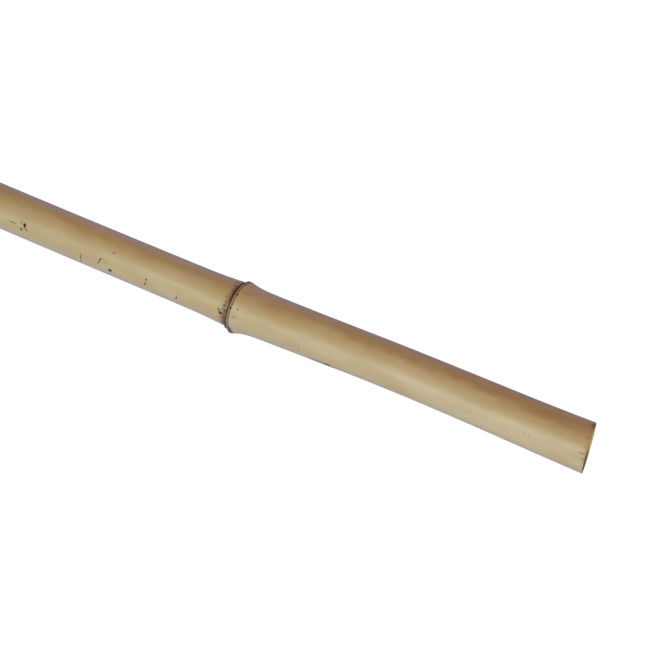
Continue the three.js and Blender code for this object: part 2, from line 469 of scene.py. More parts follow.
def skin_places():
    """Distances from the butt of the rows on the skin: close together at nodes and ends."""
    plain, close, fine = 4.6 * MM, 0.6 * MM, 0.22 * MM
    near_end = [reach * MM for reach in (0, 0.06, 0.15, 0.3, 0.55, 0.9, 1.4, 2.1, 3.2)]
    ring = ((-15 * MM, close), (-3 * MM, fine), (7 * MM, close))
    ring_end = 20 * MM
    end_rows = 5 * MM
    places = list(near_end)
    start = end_rows
    for node in NODES:
        middle = node["along"]
        places += grade(start, middle + ring[0][0], plain)
        stops = [reach for reach, _ in ring[1:]] + [ring_end]
        for (reach, step), stop in zip(ring, stops):
            places += grade(middle + reach, middle + stop, step)
        start = middle + ring_end
    places += grade(start, CANE_LENGTH - end_rows, plain)
    places += [CANE_LENGTH - reach for reach in reversed(near_end)]
    return places


def hollow_rows(node_place, end):
    """Rows of one end's hollow, as (distance, depth), from the wall at the node to the cut.

    Depth is -1 on the axis, 0 on the side of the hollow and 1 on the skin.
    """
    towards = 1 if end > node_place else -1
    floor = node_place + towards * WALL_ACROSS
    dish_steps, bore_step = 9, 8 * MM
    rows = []
    for i in range(dish_steps + 1):
        turn = math.pi / 2 * i / dish_steps
        rows.append((floor + towards * DISH * (1 - math.cos(turn)), math.sin(turn) - 1))
    side = floor + towards * DISH
    steps = round(abs(end - side) / bore_step)
    rows += [(side + (end - side) * i / steps, 0.0) for i in range(1, steps + 1)]
    return rows


def outline_rows():
    """The culm's outline, from the bottom of the tip's hollow round to that of the butt's."""
    face_rings = 12
    across = [i / face_rings for i in range(1, face_rings)]
    rows = hollow_rows(NODES[-1]["along"], CANE_LENGTH)
    rows += [(CANE_LENGTH, depth) for depth in across]
    rows += [(place, 1.0) for place in reversed(skin_places())]
    rows += [(0.0, depth) for depth in reversed(across)]
    rows += list(reversed(hollow_rows(NODES[0]["along"], 0.0)))
    return rows


def unrolled_sheet(around):
    """A mesh whose points hold distance, depth and side, joined up as the rolled culm is."""
    rows = outline_rows()
    first, *middle, last = rows
    points = [(*first, 0.0)]
    for row in middle:
        points += [(*row, TURN * i / around) for i in range(around)]
    points.append((*last, 0.0))
    end = len(points) - 1
    faces = [(0, 1 + (i + 1) % around, 1 + i) for i in range(around)]
    for row in range(len(middle) - 1):
        near, far = 1 + row * around, 1 + (row + 1) * around
        for i in range(around):
            k = (i + 1) % around
            faces.append((near + i, near + k, far + k, far + i))
    near = 1 + (len(middle) - 1) * around
    faces += [(end, near + i, near + (i + 1) % around) for i in range(around)]
    mesh = bpy.data.meshes.new("unrolled culm")
    mesh.from_pydata(points, [], faces)
    return mesh


def new_tree(name, inputs):
    """A Geometry Nodes tree with a geometry in and out, and named inputs of the given kinds."""
    tree = bpy.data.node_groups.new(name, "GeometryNodeTree")
    tree.interface.new_socket("Geometry", in_out="INPUT", socket_type="NodeSocketGeometry")
    for label, kind in inputs.items():
        tree.interface.new_socket(label, in_out="INPUT", socket_type=f"NodeSocket{kind}")
    tree.interface.new_socket("Geometry", in_out="OUTPUT", socket_type="NodeSocketGeometry")
    entry = tree.nodes.new("NodeGroupInput")
    return tree, {socket.name: Field(socket) for socket in entry.outputs if socket.name}


def finish_tree(tree, geometry, materials):
    """Ends a tree: real geometry, then each material on the faces that it is for."""
    realize = tree.nodes.new("GeometryNodeRealizeInstances")
    feed(realize.inputs["Geometry"], geometry)
    geometry = Field(realize.outputs[0])
    for material, selection in materials:
        paint = tree.nodes.new("GeometryNodeSetMaterial")
        feed(paint.inputs["Geometry"], geometry)
        feed(paint.inputs["Material"], material)
        if selection is not None:
            feed(paint.inputs["Selection"], selection)
        geometry = Field(paint.outputs[0])
    feed(tree.nodes.new("NodeGroupOutput").inputs[0], geometry)


def grown(name, mesh, tree, values):
    """A new object whose mesh is what a tree makes of another mesh."""
    piece = bpy.data.objects.new(name, mesh)
    bpy.context.scene.collection.objects.link(piece)
    modifier = piece.modifiers.new("Grow", "NODES")
    modifier.node_group = tree
    for item in tree.interface.items_tree:
        if item.in_out == "INPUT" and item.name in values:
            modifier[item.identifier] = values[item.name]
    evaluated = piece.evaluated_get(bpy.context.evaluated_depsgraph_get())
    result = bpy.data.meshes.new_from_object(evaluated)
    if not result.polygons:
        raise RuntimeError(f"{name} came out empty")
    piece.modifiers.remove(modifier)
    piece.data = result
    result.name = name
    return piece


def keep_attribute(tree, geometry, name, value, kind="FLOAT_VECTOR"):
    node = tree.nodes.new("GeometryNodeStoreNamedAttribute")
    node.data_type = kind
    node.domain = "POINT"
    feed(node.inputs["Geometry"], geometry)
    feed(node.inputs["Name"], name)
    feed(node.inputs["Value"], value)
    return Field(node.outputs[0])


def kept(tree, name, kind="FLOAT_VECTOR"):
    node = tree.nodes.new("GeometryNodeInputNamedAttribute")
    node.data_type = kind
    feed(node.inputs["Name"], name)
    return Field(node.outputs[0])


def node_geometry(tree, kind, geometry, **values):
    """One geometry node whose sockets are set by name, with spaces as underscores."""
    node = tree.nodes.new(f"GeometryNode{kind}")
    feed(node.inputs[0], geometry)
    for label, value in values.items():
        feed(node.inputs[label.replace("_", " ").title()], value)
    return node


def nearest_node(distance, side):
    """How far a place lies past its nearest node, and its side against that node's bud."""
    beyond = distance - NODES[0]["along"]
    bud_side = side - NODES[0]["bud"]
    for before, node in zip(NODES, NODES[1:]):
        is_past = past(distance, (before["along"] + node["along"]) / 2)
        beyond = beyond - is_past * (node["along"] - before["along"])
        bud_side = bud_side - is_past * (node["bud"] - before["bud"])
    return beyond, bud_side


def scar_lines(distance, side):
    """How far a place lies past the seam and the cleft that edge its node's sheath scar.

    The seam is on the butt's side and dips beside the bud. The cleft is at the foot of the flange.
    """
    beyond, bud_side = nearest_node(distance, side)
    wander = (noise(cane_point(distance, side), 3.2, detail=3.0) - 0.5) * SCAR_WANDER
    dip = ramp(cosine(bud_side - SCAR_DIP_SIDE), 0.45, 1.0) * SCAR_DIP
    seam = beyond + wander + dip
    cleft = beyond + wander - CLEFT_PAST - cosine(bud_side) * CLEFT_LEAN
    return seam, cleft


def from_bud(bud_side):
    """Distance round the cane from the middle of the bud."""
    turn = smaller(larger(cosine(bud_side), -1.0), 1.0)
    return math_node("ARCCOSINE", turn) * RADIUS


def plain_radius(distance, drop):
    """Radius of the culm without its relief."""
    stops = [0.0, *(node["along"] for node in NODES), CANE_LENGTH]
    radius = None
    for start, stop, internode in zip(stops, stops[1:], INTERNODES):
        t = ramp(distance, start, stop, smooth=False)
        rest = 1 - t
        here = (internode["start"] * (rest * (rest - t)) + 4 * internode["middle"] * (t * rest)
                + internode["end"] * (t * (t - rest)))
        if radius is None:
            radius = here
        else:
            radius = mixed(ramp(distance - start, 0.0, drop), radius, here)
    return radius


def flange_height(size, turn):
    return size["Flange"] * (1 + size["Flange Lean"] * turn)


def swelling(along, beside, form):
    """1 in the middle of a form, given by its place along the cane, half length and half width."""
    place, half_length, half_width = form
    return bell(along - place, half_length) * bell(beside, half_width)


def node_relief(size, distance, side):
    """Height that the nearest node adds to the skin."""
    beyond, bud_side = nearest_node(distance, side)
    seam, cleft = scar_lines(distance, side)
    beside = from_bud(bud_side)
    crest = flange_height(size, cosine(bud_side))
    before = crest * fade((larger(beyond * -1, 0.0) / size["Flare"]) ** size["Flare Power"])
    foot = size["Shoulder"] * bell(beyond, size["Shoulder Reach"])
    after = foot + (crest - size["Shoulder"]) * (1 - ramp(beyond, 0.0, size["Drop"]))
    flange = mixed(past(beyond, 0.0), before, after)
    bud, eye, brow, groove = (swelling(beyond, beside, form) for form in (BUD, EYE, BROW, GROOVE))
    raised = flange + size["Bud"] * (bud - eye * 0.8 + brow * 0.3) - groove * GROOVE_DEPTH
    stub = swelling(cleft, from_bud(bud_side - STUB_SIDE), STUB) * size["Stub"]
    near_lip, far_lip = (bell(cleft - place, half_width) for place, half_width in LIPS)
    cut = bell(cleft, CLEFT_WIDTH) * size["Cleft"] + bell(seam, SEAM_WIDTH) * SEAM_DEPTH
    return raised + stub + (near_lip + far_lip) * LIP_HEIGHT - cut


def centreline(distance, heights):
    """Sideways place and height of the culm's centreline."""
    places = [BUTT["along"], *(node["along"] for node in NODES), TIP["along"]]
    sideways = [BUTT["sideways"], *(node["sideways"] for node in NODES), TIP["sideways"]]
    heights = [BUTT["height"], *heights, TIP["height"]]
    runs = []
    for values in (sideways, heights):
        slopes = [(b - a) * (1 / (q - p)) for a, b, p, q in zip(
            values, values[1:], places, places[1:])]
        value = values[0] + distance * slopes[0]
        for place, before, after in zip(places[1:], slopes, slopes[1:]):
            beyond = distance - place
            bend = beyond + root(beyond * beyond + KINK_ROUNDING ** 2)
            value = value + (after - before) * bend * 0.5
        runs.append(value)
    side, height = runs
    for start, stop, internode in zip(places, places[1:], INTERNODES):
        arch = sine(ramp(distance, start, stop, smooth=False) * math.pi)
        side = side + internode["bow"] * (arch * arch)
    return side, height


def culm_tree():
    """The tree that rolls the sheet up into the culm."""
    lengths = ("Flange", "Flare", "Drop", "Shoulder", "Shoulder Reach", "Bud", "Stub",
               "Cleft", "Waver", "Saw Marks")
    numbers = ("Wall", "Flange Lean", "Flare Power")
    kinds = dict.fromkeys(lengths + numbers, "Float")
    kinds |= dict.fromkeys(("Skin", "Sawn Wood", "Pith"), "Material")
    tree, size = new_tree("Roll up culm", kinds)
    position = Field(tree.nodes.new("GeometryNodeInputPosition").outputs[0])
    distance, depth, side = parts_of(position)
    point = cane_point(distance, side)

    # Radius of the skin, with a faint unevenness that only takes away, and of the hollow
    radius = plain_radius(distance, size["Drop"])
    bore = radius * (1 - size["Wall"])
    dents = noise(cane_point(distance / 3, side), 1.6, detail=3.0)
    rim = bell(distance, RIM_WIDTH) + bell(distance - CANE_LENGTH, RIM_WIDTH)
    chipped = rim * ramp(noise(point, 9.0, detail=2.0), 0.35, 0.7) * RIM_CHIP
    skin = radius + node_relief(size, distance, side) - size["Waver"] * dents - chipped
    inner = bore + (noise(point, 2.5, detail=3.0) - 0.5) * LINING_UNEVENNESS
    reach = inner * (1 + smaller(depth, 0.0)) + (skin - inner) * larger(depth, 0.0)

    # Centreline: each node stands on its flange, less the flat worn under it
    heights = []
    for number, node in enumerate(NODES):
        under = math.cos(-math.pi / 2 - node["bud"])
        ring = flange_height(size, under) + INTERNODES[number]["end"]
        heights.append(ring - FOOTPRINT_FLAT)
    across, height = centreline(distance, heights)
    y = across - reach * cosine(side)
    z = height + reach * sine(side)

    # Both ends are cut off along a plane, with saw marks on it
    x = CANE_LENGTH / 2 - distance
    ends = ((BUTT_CUT, BUTT, distance), (TIP_CUT, TIP, CANE_LENGTH - distance))
    for (nx, ny, nz), end, inwards in ends:
        near = larger(1 - inwards / CUT_FADE, 0.0)
        lean = (y - end["sideways"]) * (ny / nx) + (z - end["height"]) * (nz / nx)
        on_face = past(FACE_SLACK, inwards)
        wave = sine((y + z * 0.35) * (TURN / SAW_PITCH))
        rough = noise(vector(tree, 0.0, y / MM, z / MM), 0.9, detail=4.0, roughness=0.65)
        marks = on_face * size["Saw Marks"] * (0.3 + wave * 0.3 + rough * 0.6)
        x = x - near * lean - marks * nx

    # In the shared frame the footprint's middle is the origin and nothing is below the surface
    rolled = vector(tree, x - MIDDLE[0], y - MIDDLE[1], larger(z, 0.0))
    geometry = keep_attribute(tree, size["Geometry"], "depth", depth, "FLOAT")
    geometry = keep_attribute(
        tree, geometry, "cane_place", vector(tree, cosine(side), sine(side), distance))
    moved = node_geometry(tree, "SetPosition", geometry, position=rolled)
    smooth = node_geometry(tree, "SetShadeSmooth", Field(moved.outputs[0]))
    depth_kept = kept(tree, "depth", "FLOAT")
    is_skin, is_pith = past(depth_kept, 1 - DEPTH_SLACK), past(DEPTH_SLACK, depth_kept)
    finish_tree(tree, Field(smooth.outputs[0]), (
        (size["Sawn Wood"], None), (size["Skin"], is_skin), (size["Pith"], is_pith)))
    return tree


def scatter_tree(name, band, spacing_input, size_input):
    """The start of a tree that scatters small things on a band of the skin past each node.

    Gives the tree, its inputs, the points and their normals.
    """
    kinds = {spacing_input: "Float", "Seed": "Int", size_input: "Float", "Sheath": "Material"}
    tree, size = new_tree(name, kinds)
    distance, side = distance_and_side(kept(tree, "cane_place"))
    beyond, _ = nearest_node(distance, side)
    on_skin = past(kept(tree, "depth", "FLOAT"), 1 - DEPTH_SLACK)
    low, high = band
    position = Field(tree.nodes.new("GeometryNodeInputPosition").outputs[0])
    clumps = ramp(noise(position, 260.0, detail=1.0), 0.36, 0.62)
    wanted = on_skin * past(beyond, low) * past(high, beyond) * clumps
    scatter = tree.nodes.new("GeometryNodeDistributePointsOnFaces")
    scatter.distribute_method = "POISSON"
    feed(scatter.inputs["Mesh"], size["Geometry"])
    feed(scatter.inputs["Distance Min"], size[spacing_input])
    feed(scatter.inputs["Density Max"], MOST_CROWDED)
    feed(scatter.inputs["Density Factor"], wanted)
    feed(scatter.inputs["Seed"], size["Seed"])
    return tree, size, Field(scatter.outputs["Points"]), Field(scatter.outputs["Normal"])


def random_between(tree, low, high, seed):
    node = tree.nodes.new("FunctionNodeRandomValue")
    node.data_type = "FLOAT"
    feed(node.inputs[2], low)
    feed(node.inputs[3], high)
    feed(node.inputs["Seed"], seed)
    return Field(node.outputs[1])


def aligned(tree, direction):
    node = tree.nodes.new("FunctionNodeAlignRotationToVector")
    node.axis = "Z"
    feed(node.inputs["Vector"], direction)
    return Field(node.outputs[0])


def blend_vectors(tree, a, b, share):
    """A vector part of the way from one to another."""
    node = tree.nodes.new("ShaderNodeMix")
    node.data_type = "VECTOR"
    feed(node.inputs[0], share)
    feed(node.inputs[4], a)
    feed(node.inputs[5], b)
    return Field(node.outputs[1])


def root_dot_tree():
    """Low round warts in the band above each ring, where roots would have grown."""
    tree, size, points, normal = scatter_tree(
        "Root dots", ROOT_DOT_BAND, "Dot Spacing", "Dot Size")
    dot = tree.nodes.new("GeometryNodeMeshUVSphere")
    feed(dot.inputs["Radius"], size["Dot Size"])
    feed(dot.inputs["Segments"], 8)
    feed(dot.inputs["Rings"], 5)
    flat = random_between(tree, 0.35, 0.6, 3)
    wide = random_between(tree, 0.55, 1.25, 4)
    place = node_geometry(
        tree, "InstanceOnPoints", points, instance=Field(dot.outputs["Mesh"]),
        rotation=aligned(tree, normal), scale=vector(tree, wide, wide * 0.9, flat))
    finish_tree(tree, Field(place.outputs[0]), ((size["Sheath"], None),))
    return tree


def fibre_tree():
    """Short frayed ends of sheath fibre that lie along each scar, towards the tip."""
    tree, size, points, normal = scatter_tree(
        "Scar fibres", FRAYED_BAND, "Fibre Spacing", "Fibre Length")
    fibre = tree.nodes.new("GeometryNodeMeshCone")
    feed(fibre.inputs["Vertices"], 5)
    feed(fibre.inputs["Radius Top"], FIBRE_TIP)
    feed(fibre.inputs["Radius Bottom"], FIBRE_ROOT)
    feed(fibre.inputs["Depth"], size["Fibre Length"])
    aside, lifted = random_between(tree, -0.5, 0.5, 5), random_between(tree, -0.5, 0.5, 6)
    stray = vector(tree, -1.0, aside, lifted)
    direction = blend_vectors(tree, stray, normal, random_between(tree, 0.05, 0.25, 7))
    length = random_between(tree, 0.3, 1.0, 8)
    place = node_geometry(
        tree, "InstanceOnPoints", points, instance=Field(fibre.outputs["Mesh"]),
        rotation=aligned(tree, direction), scale=vector(tree, 1.0, 1.0, length))
    finish_tree(tree, Field(place.outputs[0]), ((size["Sheath"], None),))
    return tree


def shader_group(name, inputs, outputs):
    """A shader node group: its tree, its inputs as fields, and its output node."""
    tree = bpy.data.node_groups.new(name, "ShaderNodeTree")
    for label, (kind, default) in inputs.items():
        socket = tree.interface.new_socket(label, in_out="INPUT", socket_type=f"NodeSocket{kind}")
        if default is not None:
            socket.default_value = default
    for label, kind in outputs.items():
        tree.interface.new_socket(label, in_out="OUTPUT", socket_type=f"NodeSocket{kind}")
    entry = tree.nodes.new("NodeGroupInput")
    fields = {socket.name: Field(socket) for socket in entry.outputs if socket.name}
    return tree, fields, tree.nodes.new("NodeGroupOutput")


def use_group(tree, group, **values):
    """Places a group in a material and gives its outputs as fields."""
    node = tree.nodes.new("ShaderNodeGroup")
    node.node_tree = group
    for label, value in values.items():
        feed(node.inputs[label.replace("_", " ").title()], value)
    outputs = [Field(socket) for socket in node.outputs]
    return outputs[0] if len(outputs) == 1 else outputs


def grain_group():
    """Long fibres: a streaky value between 0 and 1, drawn out along the cane."""
    group, given, result = shader_group(
        "Fibre grain",
        {"Place": ("Vector", None), "Fineness": ("Float", 18.0), "Draw": ("Float", 40.0)},
        {"Grain": "Float"})
    x, y, z = parts_of(given["Place"])
    drawn = vector(group, z / given["Draw"], x, y)
    coarse = noise(drawn, given["Fineness"], detail=4.0, roughness=0.6)
    fine = noise(drawn, given["Fineness"] * 4.0, detail=2.0, roughness=0.6)
    feed(result.inputs[0], coarse * 0.6 + fine * 0.4)
    return group


def spot_group():
    """A small uneven spot at one place on the cane."""
    group, given, result = shader_group(
        "Spot",
        {"Along": ("Float", 0.0), "Around": ("Float", 0.0), "Spot Along": ("Float", 0.0),
         "Spot Around": ("Float", 0.0), "Half Length": ("Float", 1.0),
         "Half Width": ("Float", 1.0), "Slant": ("Float", 0.0), "Fray": ("Float", 0.0)},
        {"Mask": "Float"})
    aside = given["Around"] - given["Spot Around"]
    length = (given["Along"] - given["Spot Along"] - aside * given["Slant"]) / given["Half Length"]
    width = aside / given["Half Width"]
    reach = root(length * length + width * width) + given["Fray"]
    feed(result.inputs[0], 1 - ramp(reach, 0.75, 1.4))
    return group


def cut_shade_group():
    """Painted shade on one half of a saw cut and its rim, and a dark corner over it."""
    group, given, result = shader_group(
        "Saw cut grime",
        {"Side": ("Float", 0.0), "Depth": ("Float", 1.0), "Unevenness": ("Float", 0.5)},
        {"Mask": "Float"})
    uneven = given["Unevenness"] - 0.5
    reach = cosine(given["Side"] - CUT_SHADE_SIDE) * (0.6 + given["Depth"] * 0.4) + uneven * 0.5
    half = ramp(reach, -0.05, 0.2) * (1 - ramp(reach, 0.8, 1.0))
    corner = ramp(cosine(given["Side"] - CUT_CORNER_SIDE) + uneven * 0.12, 0.93, 0.98)
    feed(result.inputs[0], larger(half, corner * given["Depth"] * 0.7))
    return group


def material(name):
    """A new material with its Principled BSDF."""
    made = bpy.data.materials.new(name)
    made.use_nodes = True
    return made, made.node_tree, made.node_tree.nodes["Principled BSDF"]


def attribute(tree, name):
    node = tree.nodes.new("ShaderNodeAttribute")
    node.attribute_name = name
    return node


def bump(tree, shader, height, distance, strength):
    node = tree.nodes.new("ShaderNodeBump")
    node.inputs["Strength"].default_value = strength
    node.inputs["Distance"].default_value = distance
    feed(node.inputs["Height"], height)
    feed(shader.inputs["Normal"], Field(node.outputs[0]))


class SkinPlace:
    """Where a point of the skin lies, with the noises that its colours share.

    Along, around, seam and cleft are in millimetres.
    """

    def __init__(self, tree, grain):
        self.tree = tree
        distance, side = distance_and_side(Field(attribute(tree, "cane_place").outputs["Vector"]))
        self.distance, self.side = distance, side
        self.along, self.around = distance / MM, side * (RADIUS / MM)
        self.bud_side = nearest_node(distance, side)[1]
        self.seam, self.cleft = (line / MM for line in scar_lines(distance, side))
        self.upper_side = ramp(cosine(side - SUNNED_SIDE), 0.3, 0.9)
        self.aged = ramp(distance, 20 * MM, 260 * MM)
        point = cane_point(distance, side)
        self.streaks = use_group(tree, grain, place=point, fineness=9.0, draw=30.0)
        self.hair = use_group(tree, grain, place=point, fineness=45.0, draw=50.0)
        self.cloud = noise(cane_point(distance / 4, side), 1.3, detail=3.0)
        self.crumbly = noise(point, 16.0, detail=3.0, roughness=0.65)
        self.blotches = noise(cane_point(distance / 2.5, side), 3.4, detail=3.0) - 0.5


def straw_skin(on, finish):
    """Straw, with deeper patches, and the sunned side with an edge that follows the fibres."""
    deep = ramp(on.cloud + (on.streaks - 0.5) * 0.6 + on.aged * 0.14, 0.34, 0.74)
    straw = tint(deep, finish.straw, finish.straw_deep)
    turned = (cosine(on.side - SUNNED_SIDE) + (on.streaks - 0.5) * 0.25 + (on.cloud - 0.5) * 0.25
              + on.blotches * 0.3)
    sunned = tint(ramp(turned, 0.3, 0.9), straw, finish.tan)
    skin = tint(ramp(turned, 0.75, 1.05) * (1 - on.aged * 0.35), sunned, finish.brown)
    shade = 1 + (on.hair - 0.5) * 0.12 + (on.streaks - 0.5) * 0.1 + on.blotches * 0.12
    return tint(1.0, skin, vector(on.tree, shade, shade, shade), mode="MULTIPLY")


def dark_lines(on):
    """Where a scar is dark: its seam, its cleft, wider and darker towards the upper side, and all
    of it round one side near the top.
    """
    half_width = 0.22 + on.crumbly * 0.24 + on.upper_side * 0.46
    cleft = smaller(bell(on.cleft - on.upper_side * 0.2, half_width) * 1.25, 1.0)
    cleft = cleft * (0.84 + on.upper_side * 0.1)
    seam = bell(on.seam, 0.3) * ramp(on.crumbly, 0.25, 0.5) * 0.85
    edge = bell(on.cleft - 1.2, 0.3) * ramp(on.crumbly, 0.5, 0.62) * 0.6
    darkest = ramp(cosine(on.bud_side - DARKEST_SCAR_SIDE) + (on.crumbly - 0.5) * 0.3, 0.8, 0.93)
    filled = darkest * ramp(on.seam, -0.9, 0.1) * (1 - ramp(on.cleft, 0.0, 0.6)) * 0.85
    return smaller(larger(larger(larger(cleft, seam), edge), filled), 1.0)


def bruised(on):
    """Where the skin is bruised: in the scar's dip under the bud."""
    dipped = ramp(cosine(on.bud_side - SCAR_DIP_SIDE) + (on.crumbly - 0.5) * 0.5, 0.5, 0.8)
    return dipped * ramp(on.seam, -0.4, 0.2) * (1 - ramp(on.cleft, 0.5, 3.0))


def marked(on, spot):
    """Where the small marks are, each at its own place and with a frayed edge."""
    fray = (on.crumbly - 0.5) * 1.1
    marks = None
    for mark_along, degrees, half_length, half_width, slant, dark in MARKS:
        mask = use_group(
            on.tree, spot, along=on.along, around=on.around, spot_along=mark_along,
            spot_around=math.radians(degrees) * RADIUS / MM, half_length=half_length,
            half_width=half_width, slant=slant, fray=fray) * min(1.0, dark * 1.2)
        marks = mask if marks is None else larger(marks, mask)
    return marks


def skin_at_cuts(on, finish, cut_shade, skin):
    """Scorches the skin beside the saw cuts and paints shade on its edge. Gives where it is
    scorched too.
    """
    inwards = smaller(on.along, CANE_LENGTH / MM - on.along)
    scorched_side = ramp(cosine(on.side - SCORCHED_SIDE) + (on.cloud - 0.5) * 0.4, 0.8, 0.96)
    scorch = 1 - ramp(inwards + (on.crumbly - 0.5) * 5, 0.2, 2.4)
    skin = tint(scorch * (0.03 + scorched_side * 0.5), skin, finish.scorch)
    # Painted shade on the rim, on one half of each cut
    shade_mask = use_group(on.tree, cut_shade, side=on.side, depth=1.0, unevenness=on.crumbly)
    rim = 1 - ramp(inwards + (on.crumbly - 0.5) * 0.5, 0.05, 0.4)
    return tint(rim * shade_mask * 0.8, skin, finish.scar), scorch


def painted_sheen_skin(on, finish, skin, scarred):
    """Paints a reflection (painted sheen) on both flanks, darker with painted shade past the
    sunned side, and a dark streak of painted shade there.
    """
    # Painted sheen: a grey reflection laid into the colour on both flanks
    away = 1 - cosine(on.side - SHEEN_FREE_SIDE)
    flank = ramp(away, 0.2 - on.upper_side * 0.15, 1.0) * (1 - ramp(away, 1.0, 1.35))
    flank_sheen = tint(on.upper_side, finish.flank_sheen, finish.shaded_sheen)
    sheen_strength = 0.35 - on.upper_side * 0.07 + on.aged * 0.5 + on.blotches * 0.5
    sheen_share = flank * (1 - scarred) * sheen_strength
    skin = tint(smaller(larger(sheen_share, 0.0), 1.0), skin, flank_sheen)
    # A patchy dark streak of painted shade along the upper edge, fainter past about 400 mm
    patchy = 0.45 + on.blotches * 1.4 + (on.streaks - 0.5) * 0.6
    patchy = patchy - ramp(on.distance, 320 * MM, 420 * MM) * 0.25
    streak = bell(on.side - SHADE_STREAK_SIDE, SHADE_STREAK_WIDTH) * patchy
    return tint(smaller(larger(streak, 0.0), 0.6), skin, finish.scar)


def skin_material(finish, grain, spot, cut_shade):
    """The waxy skin: straw on one side, sunned on the other, with scars, stains and marks, painted
    sheen on its flanks and painted shade along its upper edge and at its cuts.
    """
    made, tree, shader = material("bamboo skin")
    on = SkinPlace(tree, grain)
    skin = straw_skin(on, finish)

    # Stain in the band above each ring, from below the bud to beside it
    below_bud = ramp(cosine(on.bud_side - SCAR_DIP_SIDE) + (on.crumbly - 0.5) * 0.6, 0.0, 0.9)
    band = ramp(on.cleft, -0.5, 0.8) * (1 - ramp(on.cleft + (on.crumbly - 0.5) * 3, 1.8, 5.0))
    skin = tint(band * (0.3 + below_bud * 0.4), skin, finish.stain)

    # The scar itself is tan, with dirt past its cleft, dark lines and a bruise
    scar = ramp(on.seam, -0.3, 0.3) * (1 - ramp(on.cleft, -0.4, 0.2))
    lines, bruise, marks = dark_lines(on), bruised(on), marked(on, spot)
    skin = tint(scar * 0.45, skin, finish.brown)
    skin = tint(bell(on.cleft - 1.0, 1.5) * (0.2 + on.crumbly * 0.8), skin, finish.dirt)
    skin = tint(lines, skin, finish.scar)
    skin = tint(bruise * (0.55 + on.crumbly * 0.6), skin, finish.bruise)
    skin = tint(marks, skin, finish.mark)
    skin, scorch = skin_at_cuts(on, finish, cut_shade, skin)

    # Painted sheen and gloss are gone where the skin is scarred
    scarred = larger(larger(lines, marks), larger(scar, larger(scorch, bruise)) * 0.7)
    skin = painted_sheen_skin(on, finish, skin, scarred)
    feed(shader.inputs["Base Color"], skin)
    feed(shader.inputs["Roughness"], 0.5 + (on.streaks - 0.5) * 0.1 + scarred * 0.35)
    feed(shader.inputs["Coat Weight"], (1 - scarred) * (1 - on.upper_side * 0.6) * finish.gloss)
    shader.inputs["Coat Roughness"].default_value = 0.35
    shader.inputs["Specular IOR Level"].default_value = 0.3
    shader.inputs["Sheen Weight"].default_value = 0.15
    shader.inputs["Sheen Roughness"].default_value = 0.35
    shader.inputs["Sheen Tint"].default_value = (0.9, 0.87, 1.0, 1.0)
    height = on.hair * 0.5 + on.streaks * 0.5 - lines * 0.8 - marks * 0.8 + on.crumbly * lines
    bump(tree, shader, height, distance=0.06 * MM, strength=0.5)
    return made


def sawn_material(finish, cut_shade):
    """A saw cut across the wall: fibre bundles, small and crowded towards the skin."""
    made, tree, shader = material("sawn bamboo")
    coordinates = tree.nodes.new("ShaderNodeTexCoord")
    _, y, z = parts_of(Field(coordinates.outputs["Object"]))
    depth = Field(attribute(tree, "depth").outputs["Fac"])
    _, side = distance_and_side(Field(attribute(tree, "cane_place").outputs["Vector"]))
    flat = vector(tree, y / MM, z / MM, 0.0)
    rough = noise(flat, 1.1, detail=4.0, roughness=0.65)
    masks = []
    for scale, size in ((1.05, 0.32), (2.0, 0.4)):
        cells = tree.nodes.new("ShaderNodeTexVoronoi")
        cells.voronoi_dimensions = "2D"
        feed(cells.inputs["Vector"], flat)
        cells.inputs["Scale"].default_value = scale
        masks.append(1 - ramp(Field(cells.outputs["Distance"]), size * 0.6, size))
    bundles = mixed(ramp(depth, 0.45, 0.6), masks[0], masks[1])
    ground = tint(ramp(depth + (rough - 0.5) * 0.3, 0.3, 1.0) * 0.7, finish.wood, finish.scorch)
    wood = tint(bundles * (0.35 + rough * 0.5), ground, finish.bundle)
    # Painted shade on one half of the cut, and a dark corner
    shade_mask = use_group(tree, cut_shade, side=side, depth=depth, unevenness=rough)
    wood = tint(shade_mask * 0.74 + ramp(depth, 0.85, 1.0) * 0.1, wood, finish.scar)
    wood = tint(ramp(rough, 0.55, 0.8) * 0.4, wood, finish.stain)
    feed(shader.inputs["Base Color"], wood)
    shader.inputs["Roughness"].default_value = 0.8
    shader.inputs["Specular IOR Level"].default_value = 0.1
    scratch = noise(vector(tree, y * (6 / MM), z * (0.6 / MM), 0.0), 1.0, detail=3.0)
    height = scratch * 0.6 - bundles * 0.5 + rough * 0.4
    bump(tree, shader, height, distance=0.12 * MM, strength=0.7)
    return made


def pith_material(finish, grain, cut_shade):
    """The papery lining of the hollow, darker at its mouth on the half of the cut that carries
    painted shade.
    """
    made, tree, shader = material("papery pith")
    round_x, round_y, distance = parts_of(Field(attribute(tree, "cane_place").outputs["Vector"]))
    place = vector(tree, round_x, round_y, distance / RADIUS)
    fibres = use_group(tree, grain, place=place, fineness=12.0, draw=14.0)
    stains = noise(place, 2.2, detail=4.0, roughness=0.6)
    skin = tint(ramp(stains, 0.5, 0.75) * 0.5, finish.pith, finish.scorch)
    skin = tint(ramp(fibres, 0.55, 0.75) * 0.35, skin, finish.stain)
    mouth = 1 - ramp(smaller(distance, CANE_LENGTH - distance), 1 * MM, DARK_MOUTH)
    side = math_node("ARCTAN2", round_y, round_x)
    # Darker mouth, on the half of the cut that carries painted shade
    shade_mask = use_group(tree, cut_shade, side=side, depth=0.6, unevenness=stains)
    skin = tint(mouth * shade_mask * 0.6, skin, finish.dirt)
    feed(shader.inputs["Base Color"], skin)
    shader.inputs["Roughness"].default_value = 0.85
    bump(tree, shader, fibres, distance=0.15 * MM, strength=0.6)
    return made


